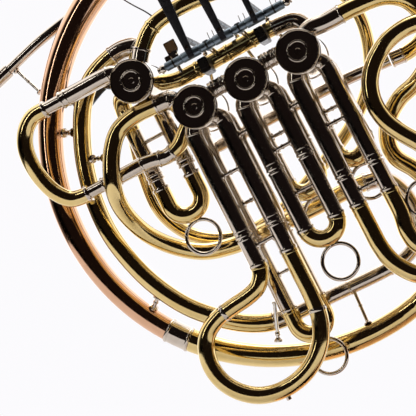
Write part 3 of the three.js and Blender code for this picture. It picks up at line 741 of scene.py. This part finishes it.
def first_front_slide():
    piece = Piece("valve1_front_slide_balloon", "valve1_front_slide_body", "yellow_brass")
    piece.nodes = ("valve1_front_slide",)
    line = smooth([at(u, v, FRONT_DECK) for u, v in BALLOON])
    slide_tube(piece, "valve1", FRONT_DECK, 55, 112, 134, line)
    piece.stay(at(-7.1, 121, FRONT_DECK), at(7.1, 121, FRONT_DECK))
    foot = at(-40, 233.8 + LEG_R, FRONT_DECK)
    piece.rod(foot - DOWN * 1.4, foot + DOWN * 3, 2.3, NICKEL)
    piece.bead(line, length(line) * 0.18, LEG_R, NICKEL, 3.4, 0.5)
    piece.bead(line, length(line) * 0.82, LEG_R, NICKEL, 3.4, 0.5)
    piece.done()


THIRD_BOW = [at(80.3, 127, 18), at(80.3, 152, 18), at(80.6, 166.6, 18), at(83.6, 180.6, 18)]
THIRD_BOW += [at(90.5, 192.8, 18), p(177, -133.8, 18), p(193, -133, 18), p(209, -125, 18)]
THIRD_BOW += [p(222, -108, 18), p(228, -84, 18), p(229, -30, 17), p(227, 20, 15)]
THIRD_BOW += [p(218, 46, 13), p(203, 61, 12), p(187, 65, 12), p(170, 61.5, 12)]
THIRD_BOW += [p(154, 50.5, 12), p(143.5, 34, 12), p(140, 18, 12), p(143, 2, 12)]
THIRD_BOW += [p(152, -12, 12), p(164.5, -22, 12), p(178, -30, 12.5), p(192, -40, 14)]
THIRD_BOW += [p(201, -54, 16), p(204, -72, 18), p(203, -92, 18), p(197, -105, 18)]
THIRD_BOW += [p(188, -112, 18), p(178, -110.5, 18), p(169.5, -100.5, 18)]
THIRD_BOW += [at(107.5, 150, 18), at(107.7, 138, 18), at(107.7, 127, 18)]


def third_front_slide():
    piece = Piece("valve3_front_slide_loop", "valve3_front_slide_body", "yellow_brass")
    piece.nodes = ("valve3_front_slide",)
    line = smooth(THIRD_BOW)
    slide_tube(piece, "valve3", FRONT_DECK, 60, 105, 127, line)
    piece.stay(at(86.9, 119, FRONT_DECK), at(101.1, 119, FRONT_DECK))
    piece.ferrule(line, near(line, 228, -84), near(line, 229, -60), LEG_R, NICKEL)
    piece.ferrule(line, near(line, 203, 61), near(line, 187, 65), LEG_R, NICKEL)
    centre = p(204 - LEG_R - RING_R + 0.3, -74, 18)
    piece.ring(centre, RING_R, RING_WIRE, NICKEL)
    piece.done()


# ---- change valve slide ----------------------------------------------------
UPPER_V, LOWER_V, LOWER_DECK = -59.8, 17.5, 33


def change_slide_legs():
    upper = Piece("change_slide_upper_tube", "horn_body", "nickel_silver")
    upper.nodes = ("change_slide_upper_leg",)
    line = smooth(
        [at(-101, UPPER_V, 18), at(-78, UPPER_V, 18), at(-60, UPPER_V, 18)]
        + [at(-51, -58.6, 18), at(-44, -53, 18), at(-40, -48, 18)]
    )
    upper.tube(line, LEG_R, NICKEL)
    for s in (1.2, 6, 46):
        upper.bead(line, s, LEG_R, NICKEL)
    upper.done()
    lower = Piece("change_slide_lower_tube", "horn_body", "nickel_silver")
    lower.nodes = ("change_slide_lower_leg",)
    line = smooth(
        [at(-104, LOWER_V, LOWER_DECK), at(-84, LOWER_V, LOWER_DECK)]
        + [at(-64, LOWER_V, LOWER_DECK), at(-56, 18.5, LOWER_DECK)]
        + [at(-44, 21, LOWER_DECK), at(-32, 18, LOWER_DECK), at(-22, 10, LOWER_DECK)]
        + [at(-12, 2, LOWER_DECK)]
    )
    turn = at(-50, 20, LOWER_DECK)
    join = near(line, turn.x, turn.z)
    lower.tube(part(line, 0, join), 6.5, NICKEL)
    lower.tube(part(line, join, length(line)), 6.5, BRASS)
    lower.ferrule(line, join - 1, join + 13, 6.5, NICKEL)
    for s in (1.2, 15, 38):
        lower.bead(line, s, 6.5, NICKEL)
    lower.done()


def change_slide():
    piece = Piece("change_slide_bow", "change_slide_body", "yellow_brass", "change_slide")
    upper = [at(-70, UPPER_V, 18), at(-116, UPPER_V, 18)]
    lower = [at(-118, LOWER_V, LOWER_DECK), at(-80, LOWER_V, LOWER_DECK)]
    piece.tube(resample(upper, 4), 5.4, NICKEL)
    piece.tube(resample(lower, 4), 5.4, NICKEL)
    line = smooth(
        [at(-115, UPPER_V, 18), at(-128, -59.3, 18), at(-138, -53.5, 19), at(-146, -42, 21)]
        + [at(-149, -28, 24), at(-148, -11, 28), at(-142.5, 5, 31)]
        + [at(-134, 14.5, LOWER_DECK), at(-124, LOWER_V, LOWER_DECK)]
        + [at(-117, LOWER_V, LOWER_DECK)]
    )
    piece.tube(line, 6.9, BRASS)
    collars(piece, line, 6.9)
    piece.done()


# ---- main tuning slide and leadpipe ----------------------------------------
def tuning_slide():
    legs = Piece("tuning_slide_tubes", "horn_body", "nickel_silver", "tuning_slide_legs")
    for side, top in ((-1, -12), (1, -32)):
        u = TUNING_U + side * TUNING_HALF
        line = resample([at(u, top, REAR_DECK), at(u, 34, REAR_DECK)], 0.8)
        legs.tube(line, LEG_R, NICKEL)
        for s in (length(line) - 1.2, length(line) - 5.4):
            legs.bead(line, s, LEG_R, NICKEL)
    reach = TUNING_HALF - LEG_R + 0.4
    legs.rod(at(TUNING_U - reach, 0, REAR_DECK), at(TUNING_U + reach, 0, REAR_DECK), 1.7, NICKEL)
    legs.done()
    piece = Piece("main_tuning_slide_bow", "main_tuning_slide_body", "yellow_brass")
    piece.nodes = ("main_tuning_slide",)
    for side in (-1, 1):
        u = TUNING_U + side * TUNING_HALF
        piece.tube(resample([at(u, 0, REAR_DECK), at(u, 40, REAR_DECK)], 4), SLIDE_R, NICKEL)
    around = arc(at(TUNING_U, 57, REAR_DECK), TUNING_HALF, ROW, DOWN, 180, 0)
    ends = [at(TUNING_U + side * TUNING_HALF, 40, REAR_DECK) for side in (-1, 1)]
    line = resample([ends[0], *around, ends[1]])
    piece.tube(line, LEG_R, BRASS)
    collars(piece, line, LEG_R)
    pull_ring(piece, at(TUNING_U, 57 + TUNING_HALF + LEG_R + RING_R - 0.2, REAR_DECK))
    piece.done()


LEADPIPE = [p(-182, 39.5, 75), p(-157, 62, 76), p(-132, 82, 80), p(-95, 110, 86)]
LEADPIPE += [p(-50, 130, 90), p(0, 137, 95), p(50, 132, 100), p(95, 112, 107)]
LEADPIPE += [p(120, 85, 110), p(129.5, 50, 110), p(127, 18, 109), p(113, -13, 107)]
LEADPIPE += [p(91, -43, 104), p(72, -66, 100), p(49, -90, 96), p(15, -107, 92)]
LEADPIPE += [p(-20, -105, 89), p(-48, -85, 88), p(-64, -50, 88), p(-73, -15, 86)]
LEADPIPE += [p(-78, 5, 78), p(-78, 11, 64), p(-74.5, 6, 52), at(-64, -26, REAR_DECK)]
LEADPIPE += [at(-64, -12.8, REAR_DECK)]
PIPE_BACK = (LEADPIPE[0] - LEADPIPE[1]).normalized()


def leadpipe():
    piece = Piece("leadpipe_tube", "horn_body", "yellow_brass", "leadpipe")
    line = smooth(LEADPIPE)
    nickel_end = 78
    total = length(line)
    piece.tube(part(line, 0, nickel_end), lambda t: 4.6 + 2.2 * t * nickel_end / total, NICKEL)
    rest = part(line, nickel_end, total)
    piece.tube(rest, lambda t: 4.85 + 1.95 * t, BRASS)
    piece.ferrule(line, nickel_end - 6, nickel_end + 6, 4.9, NICKEL)
    piece.done()
    sleeve = Piece("mouthpiece_receiver_sleeve", "horn_body", "nickel_silver")
    sleeve.nodes = ("mouthpiece_receiver",)
    profile = [(6.3, 0.3), (6.3, 24), (6.9, 24.6), (7.1, 26), (6.9, 29.4), (6.4, 30)]
    profile += [(5.2, 30), (5.2, 0.3), (6.3, 0.3)]
    sleeve.turned(profile, LEADPIPE[0], PIPE_BACK, NICKEL, sides=48)
    sleeve.done()
    cup = Piece("mouthpiece_cup", "mouthpiece_body", "silver_plate", "mouthpiece")
    outer = [(3.9, 14), (4.8, 31), (5.2, 43), (5.9, 48), (7.6, 56), (9.4, 63), (11.2, 69)]
    outer += [(12, 72), (12.7, 74.5), (12.9, 76.6), (12.4, 78), (11.4, 78.5), (10.2, 78.4)]
    bore = [(9.4, 77.6), (8.8, 75), (7.4, 69), (5.4, 60), (3.4, 53), (2.4, 48), (2.2, 40)]
    profile = [*outer, *bore, (2.9, 14), outer[0]]
    cup.turned(profile, LEADPIPE[0], PIPE_BACK, SILVER, sides=64)
    cup.done()


# ---- finger levers ---------------------------------------------------------
def lever_rod():
    piece = Piece("lever_rod_assembly", "horn_body", "blued_steel", "lever_rod")
    piece.rod(at(-9, HINGE_V, 0), at(104, HINGE_V, 0), 2.2, BLUED)
    stretches = ((-6, 8.6), (25.6, 38), (55.2, 67), (84.2, 101))
    for a, b in stretches:
        piece.rod(at(a, HINGE_V, 0), at(b, HINGE_V, 0), 3.6, BLUED, 28)
        middle = (a + b) / 2
        piece.rod(at(middle - 0.9, HINGE_V, 0), at(middle + 0.9, HINGE_V, 0), 3.8, BLACKED)
    for u, way in ((-9, -1), (104, 1)):
        piece.ball(at(u, HINGE_V, 0), 3.3, NICKEL)
        piece.rod(at(u, HINGE_V, 0), at(u + way * 4, HINGE_V, 0), 1.7, NICKEL)
        piece.rod(at(u + way * 3, HINGE_V, 0), at(u + way * 4.2, HINGE_V, 0), 2.4, NICKEL)
    for u in (32, 61):
        piece.rod(at(u, HINGE_V + 1, 2), at(u, HINGE_V + 4, 30), 2.2, NICKEL)
        piece.block(at(u, HINGE_V, 1), 5, 7, 8, BLUED)
    piece.done()


def saddle(name, u):
    """Dark block that carries the hinge rod on the tube below it."""
    piece = Piece(name, "horn_body", "blued_steel")
    piece.block(at(u, -26.4, 13.5), 8, 22, 12.4, BLACKED, 0.7)
    piece.block(at(u, -27.4, 2.2), 6.6, 2, 7.6, BLACKED, 0.5)
    piece.done()


def finger_lever(name, u, tip, reach, narrow, wide):
    """A finger lever: hinge tube, flat arm that widens to a spoon, crank to the back."""
    piece = Piece(f"{name}_arm", f"{name}_body", "dark_lever", name)
    profile = [(2.55, -8), (3.9, -8), (4.1, -7.4), (4.1, 7.4), (3.9, 8), (2.55, 8), (2.55, -8)]
    piece.turned(profile, at(u, HINGE_V, 0), ROW, BLUED, sides=40)
    end = HINGE_V - reach
    sections = [(u, HINGE_V + 3.4, -2.3, narrow * 0.72, 0.7), (u, HINGE_V + 2.6, -2.9, narrow, 1.2)]
    for k in range(1, 16):
        t = k / 16
        v = HINGE_V - (reach - 26) * t
        sections.append((u + (tip - u) * t, v, -2.9, narrow + (wide - narrow) * t, 1.2))
    spoon = [(26, wide, 0), (21, wide + 1.6, 0), (15, wide + 3, -0.2), (10, wide + 3.4, -0.4)]
    spoon += [(6, wide + 3.2, -0.3), (3, wide + 2.4, 0.1), (1, wide + 0.8, 0.6), (0.1, 2, 1)]
    for back, half, lift in spoon:
        sections.append((tip, end + back, -2.9 + lift, half, 1.15))
    piece.bar(sections, LEVER)
    piece.block(at(u, (HINGE_V + CRANK_V) / 2 - 1.5, 0.5), 4, 4, 9.5, LEVER)
    piece.block(at(u, CRANK_V, (LINK_Y - 2) / 2), 4, LINK_Y + 2, 4, LEVER)
    screw = [(0, -0.9), (1.3, -0.8), (1.7, 0), (1.7, 1)]
    piece.turned(screw, at(u, HINGE_V - 5.6, -4), DEPTH, NICKEL, 24)
    piece.done()
    spring = Piece(f"{name}_spring", "horn_body", "nickel_silver")
    for shift in (12.6, 17):
        wire = [at(u + shift, -44, 46), at(u + shift, -50, 47), at(u + shift + 0.6, -57, 46)]
        spring.tube(smooth(wire), 0.38, SILVER, 10)
    spring.done()


def link_rod(name, start, end, y, radius, knob):
    """Push rod with a ball cup at each end and a lock nut."""
    piece = Piece(f"{name}_rod", f"{name}_body", "nickel_silver", name)
    a, b = at(*start, y), at(*end, y)
    piece.rod(a, b, radius, NICKEL)
    for q in (a, b):
        piece.ball(q, knob, NICKEL)
    way = (b - a).normalized()
    piece.rod(a + way * (knob + 1), a + way * (knob + 3.2), radius + 0.7, NICKEL, 6)
    piece.done()


def thumb_lever():
    piece = Piece("thumb_lever_arm", "thumb_lever_body", "dark_lever", "thumb_lever")
    u, v, y = THUMB_U, THUMB_V, THUMB_Y
    hub = [(2.65, y - 3), (5.7, y - 3), (6, y - 2.7), (6, y + 4.7), (5.7, y + 5), (2.65, y + 5)]
    piece.turned([*hub, hub[0]], at(u, v, 0), DEPTH, BLUED, sides=48)
    arm = [(u + 5, v - 2.8), (u + 25, v - 2.2), (u + 25, v + 2.2), (u + 5, v + 2.8)]
    piece.plate(arm, y, 3, LEVER)
    pad = [(u - 5, v - 2.9), (u - 5, v + 3.4), (u - 18, v + 7), (u - 25, v + 11), (u - 30, v + 14)]
    pad += [(u - 34, v + 13), (u - 37, v + 10), (u - 38.4, v + 3), (u - 38, v - 3)]
    pad += [(u - 35, v - 6), (u - 30, v - 7), (u - 24, v - 5.4), (u - 18, v - 3)]
    piece.plate(pad, y, 3, LEVER, 0.8)
    piece.done()


def finger_hook():
    piece = Piece("finger_hook_bar", "horn_body", "nickel_silver", "finger_hook")
    line = [at(104, -82.6, 29), at(105, -92, 26), at(107, -106, 20), at(116, -114, 12)]
    line += [at(126, -110, 6), at(128, -100, 4)]
    piece.tube(smooth(line), lambda t: 2.6 + 0.5 * math.sin(math.pi * t), NICKEL, 24)
    piece.ball(at(128, -100, 4), 2.6, NICKEL)
    piece.done()


# ---- braces ----------------------------------------------------------------
def brace(name, a, b, radius, *nodes):
    """A turned post with a soldered flange at each end."""
    piece = Piece(name, "horn_body", "nickel_silver", *nodes)
    piece.rod(a, b, radius, NICKEL)
    for q, way in ((a, (b - a).normalized()), (b, (a - b).normalized())):
        flange = [(radius * 2.3, -0.4), (radius * 2.3, 0.7), (radius * 1.9, 1.2)]
        flange += [(radius * 1.2, 1.6), (radius * 1.05, 2.6), (radius * 0.9, 2.7)]
        piece.turned(flange, q, way, NICKEL, sides=32)
    middle = (a + b) / 2
    half = (b - a).normalized() * 0.8
    piece.rod(middle - half, middle + half, radius * 1.35, NICKEL)
    piece.done()


def branch_post():
    """Upright post on the outer branch, with a ball at its foot and a turned top."""
    piece = Piece("branch_post", "horn_body", "silver_plate")
    foot, top = p(59.8, -191.5, 54.6), p(57, -160, 51)
    piece.rod(foot, top, 1.6, SILVER)
    way = (top - foot).normalized()
    piece.ball(foot + way * 6, 2.5, SILVER)
    piece.turned([(3.6, -0.6), (3.6, 0.8), (2.6, 1.6), (1.7, 3)], foot, way, NICKEL, sides=32)
    piece.turned([(1.6, -0.8), (2.3, -0.3), (2.3, 0.6), (1.5, 1.3)], top, way, SILVER, sides=32)
    piece.done()


def lever_stop():
    """Bracket with a cork pad that the levers rest against, beside the change valve."""
    piece = Piece("lever_stop", "horn_body", "nickel_silver")
    piece.block(at(0.4, -57.4, 26), 8, 2, 8, CORK, 0.6)
    corners = [(-4, -40), (1.6, -42), (3, -50), (5.6, -54), (5.6, -62.4), (-4.6, -62.4)]
    piece.plate(corners, 27.4, 1.2, SILVER)
    piece.rod(at(-1, -42, 28), at(-1, -33, 30), 1.7, SILVER)
    piece.block(at(-5.4, -47.6, 24), 5, 1.4, 7, NICKEL, 0.4)
    screw = [(0, -1), (1.3, -0.9), (1.7, 0), (1.7, 1)]
    for spot in (at(-5.4, -46, 23), at(2.4, -51, 27)):
        piece.turned(screw, spot, DEPTH, SILVER, 24)
    piece.done()


def stay_wire():
    """Thin dark stay from the change valve's loop to the leadpipe."""
    piece = Piece("stay_wire", "horn_body", "blued_steel")
    line = [p(-35, 72.6, 18.5), p(-44, 79, 20), p(-56, 85.5, 27), p(-70, 93.5, 45)]
    line += [p(-84, 103, 70), p(-92, 109, 82)]
    piece.tube(smooth(line), 0.6, BLACKED, 12)
    piece.done()


# ---- light, floor and camera -----------------------------------------------
def studio():
    """A pale room with a dark end behind the camera; the pale round floor is made by floor()."""
    world = bpy.data.worlds.new("studio")
    bpy.context.scene.world = world
    world.use_nodes = True
    tree = world.node_tree
    tree.nodes.clear()
    out = tree.nodes.new("ShaderNodeOutputWorld")
    place = tree.nodes.new("ShaderNodeTexCoord")

    def towards(x, y, z):
        node = tree.nodes.new("ShaderNodeVectorMath")
        node.operation = "DOT_PRODUCT"
        node.inputs[1].default_value = (x, y, z)
        tree.links.new(place.outputs["Generated"], node.inputs[0])
        return node.outputs["Value"]

    ramp = tree.nodes.new("ShaderNodeValToRGB")
    ramp.color_ramp.elements[0].position = 0.0
    ramp.color_ramp.elements[0].color = (0.98, 0.97, 1.0, 1)
    ramp.color_ramp.elements[1].position = 0.45
    ramp.color_ramp.elements[1].color = (0.007, 0.005, 0.005, 1)
    steps = ((0.15, (0.9, 0.87, 0.85, 1)), (0.25, (0.32, 0.28, 0.25, 1)))
    for position, color in (*steps, (0.34, (0.04, 0.032, 0.029, 1))):
        element = ramp.color_ramp.elements.new(position)
        element.color = color
    spread = tree.nodes.new("ShaderNodeMapRange")
    spread.inputs["From Min"].default_value = -0.3
    tree.links.new(towards(0.12, -0.98, -0.15), spread.inputs["Value"])
    tree.links.new(spread.outputs["Result"], ramp.inputs["Fac"])
    corner = tree.nodes.new("ShaderNodeMapRange")
    corner.interpolation_type = "SMOOTHSTEP"
    corner.inputs["From Min"].default_value = 0.5
    corner.inputs["From Max"].default_value = 0.85
    corner.inputs["To Min"].default_value = 1.6
    corner.inputs["To Max"].default_value = 0.12
    tree.links.new(towards(-0.76, -0.25, -0.6), corner.inputs["Value"])
    light = tree.nodes.new("ShaderNodeBackground")
    tree.links.new(corner.outputs["Result"], light.inputs["Strength"])
    tree.links.new(ramp.outputs["Color"], light.inputs["Color"])
    seen = tree.nodes.new("ShaderNodeBackground")
    seen.inputs["Color"].default_value = (0.97, 0.963, 0.985, 1)
    path = tree.nodes.new("ShaderNodeLightPath")
    mix = tree.nodes.new("ShaderNodeMixShader")
    tree.links.new(path.outputs["Is Camera Ray"], mix.inputs["Fac"])
    tree.links.new(light.outputs["Background"], mix.inputs[1])
    tree.links.new(seen.outputs["Background"], mix.inputs[2])
    tree.links.new(mix.outputs["Shader"], out.inputs["Surface"])


def floor():
    data = bpy.data.meshes.new("floor")
    mesh = bmesh.new()
    bmesh.ops.create_circle(mesh, cap_ends=True, segments=128, radius=FLOOR_R)
    mesh.to_mesh(data)
    mesh.free()
    made = bpy.data.objects.new("floor", data)
    bpy.context.scene.collection.objects.link(made)
    paint = bpy.data.materials.new("pale_floor")
    paint.use_nodes = True
    shader = paint.node_tree.nodes["Principled BSDF"]
    shader.inputs["Base Color"].default_value = (0.86, 0.85, 0.87, 1)
    shader.inputs["Roughness"].default_value = 0.7
    data.materials.append(paint)
    made.location.z = -0.0005


def softbox(name, place, aim, size, power, tall=None):
    data = bpy.data.lights.new(name, "AREA")
    data.shape = "RECTANGLE"
    data.size = size
    data.size_y = tall or size
    data.energy = power
    made = bpy.data.objects.new(name, data)
    made.location = place
    made.rotation_euler = (Vector(aim) - Vector(place)).to_track_quat("-Z", "Y").to_euler()
    bpy.context.scene.collection.objects.link(made)


def camera():
    """Square on to the valve side, 12 degrees round to the right, at valve height."""
    azimuth = math.radians(12)
    distance = 1.2
    width = 0.3328
    target = Vector((-0.0563, -0.066, 0.2905))
    data = bpy.data.cameras.new("camera")
    data.sensor_width = 36
    data.lens = 36 * distance / width
    made = bpy.data.objects.new("camera", data)
    back = Vector((math.sin(azimuth), -math.cos(azimuth), 0))
    made.location = target + back * distance
    made.rotation_euler = (-back).to_track_quat("-Z", "Y").to_euler()
    bpy.context.scene.collection.objects.link(made)
    bpy.context.scene.camera = made


# ---- the horn --------------------------------------------------------------
bell_tail()
bell_flare()
bell_ferrule()
outer_branch()
third_valve_outlet()
inner_branch()
inner_cross_tube()
first_valve_loop()
rear_cross_tube()
change_valve_loop()
back_branch()
for valve, (valve_u, valve_v) in VALVES.items():
    valve_cap(valve, valve_u, valve_v)
    valve_casing(valve, valve_u, valve_v)
    dressed(f"{valve}_rotor", NICKEL)
    dressed(f"{valve}_stop_arm", NICKEL)
link_tube("valve_link_1_2", 23.5)
link_tube("valve_link_2_3", 70.5)
leg_pair("valve1_front_legs", "valve1", FRONT_DECK, 111, LEG_HALF, 59)
leg_pair("valve1_rear_legs", "valve1", REAR_DECK, 120, 13, 84)
leg_pair("valve2_front_legs", "valve2", FRONT_DECK, 74, LEG_HALF, 60)
leg_pair("valve2_rear_legs", "valve2", REAR_DECK, 60, LEG_HALF, 46)
leg_pair("valve3_front_legs", "valve3", FRONT_DECK, 104, LEG_HALF, 62)
leg_pair("valve3_rear_legs", "valve3", REAR_DECK, 62, 13, 48)
leg_stay("leg_stay_1_2", 23.5)
leg_stay("leg_stay_2_3", 70.5)
first_front_slide()
ringed_slide("valve1_rear_slide", "valve1", REAR_DECK, 70, 121, 177, 193, 13)
ringed_slide("valve2_front_slide", "valve2", FRONT_DECK, 40, 75, 126.5, 128)
ringed_slide("valve2_rear_slide", "valve2", REAR_DECK, 30, 61, 84, 86)
third_front_slide()
ringed_slide("valve3_rear_slide", "valve3", REAR_DECK, 30, 63, 78, 80, 13)
change_slide_legs()
change_slide()
tuning_slide()
leadpipe()
lever_rod()
saddle("saddle_left", 22)
saddle("saddle_right", 73.5)
finger_lever("lever1", 17, 18, 92, 2.75, 5.4)
finger_lever("lever2", 46.5, 46, 88, 2.7, 4.4)
finger_lever("lever3", 75.5, 77, 84, 2.3, 3.6)
link_rod("link1", (17, CRANK_V), (7.5, -7.5), LINK_Y + 5.4, 1.6, 2.8)
link_rod("link2", (46.5, CRANK_V), (54.5, -7.5), LINK_Y + 5.4, 1.6, 2.8)
link_rod("link3", (75.5, CRANK_V), (86.5, -7.5), LINK_Y + 5.4, 1.6, 2.8)
thumb_lever()
dressed("thumb_bracket", NICKEL)
link_rod("thumb_link", (THUMB_U + 25, THUMB_V), (-41.95, -47.95), THUMB_Y + 5.2, 1.5, 2.2)
brace("bell_brace_left_post", p(-128.6, -17, 64), p(-117.2, -17, 55.5), 1.8, "bell_brace_left")
foot, top = p(-48.6, -165.8, 62.5), p(-43.2, -156.2, 56)
brace("bell_brace_bottom_post", foot, top, 1.8, "bell_brace_bottom")
brace("loop_brace_post", p(-98.3, -40, 48), p(-80.9, -40, 23.2), 1.6)
brace("leadpipe_brace_post", p(-175.4, 38.6, 75.4), p(-151.6, 19, 68), 1.3)
branch_post()
brace("cross_brace", p(120, -148, 69), p(133, -176.5, 65), 1.5)
finger_hook()
stay_wire()
lever_stop()
studio()
floor()
softbox("top_light", (-0.3, 0.6, 1.8), (0, 0, 0.3), 1.0, 10)
softbox("strip_light", (-1.05, -1.0, 0.75), (0, 0, 0.3), 0.05, 1.6, 1.1)
camera()
bpy.context.scene.view_settings.view_transform = "Standard"
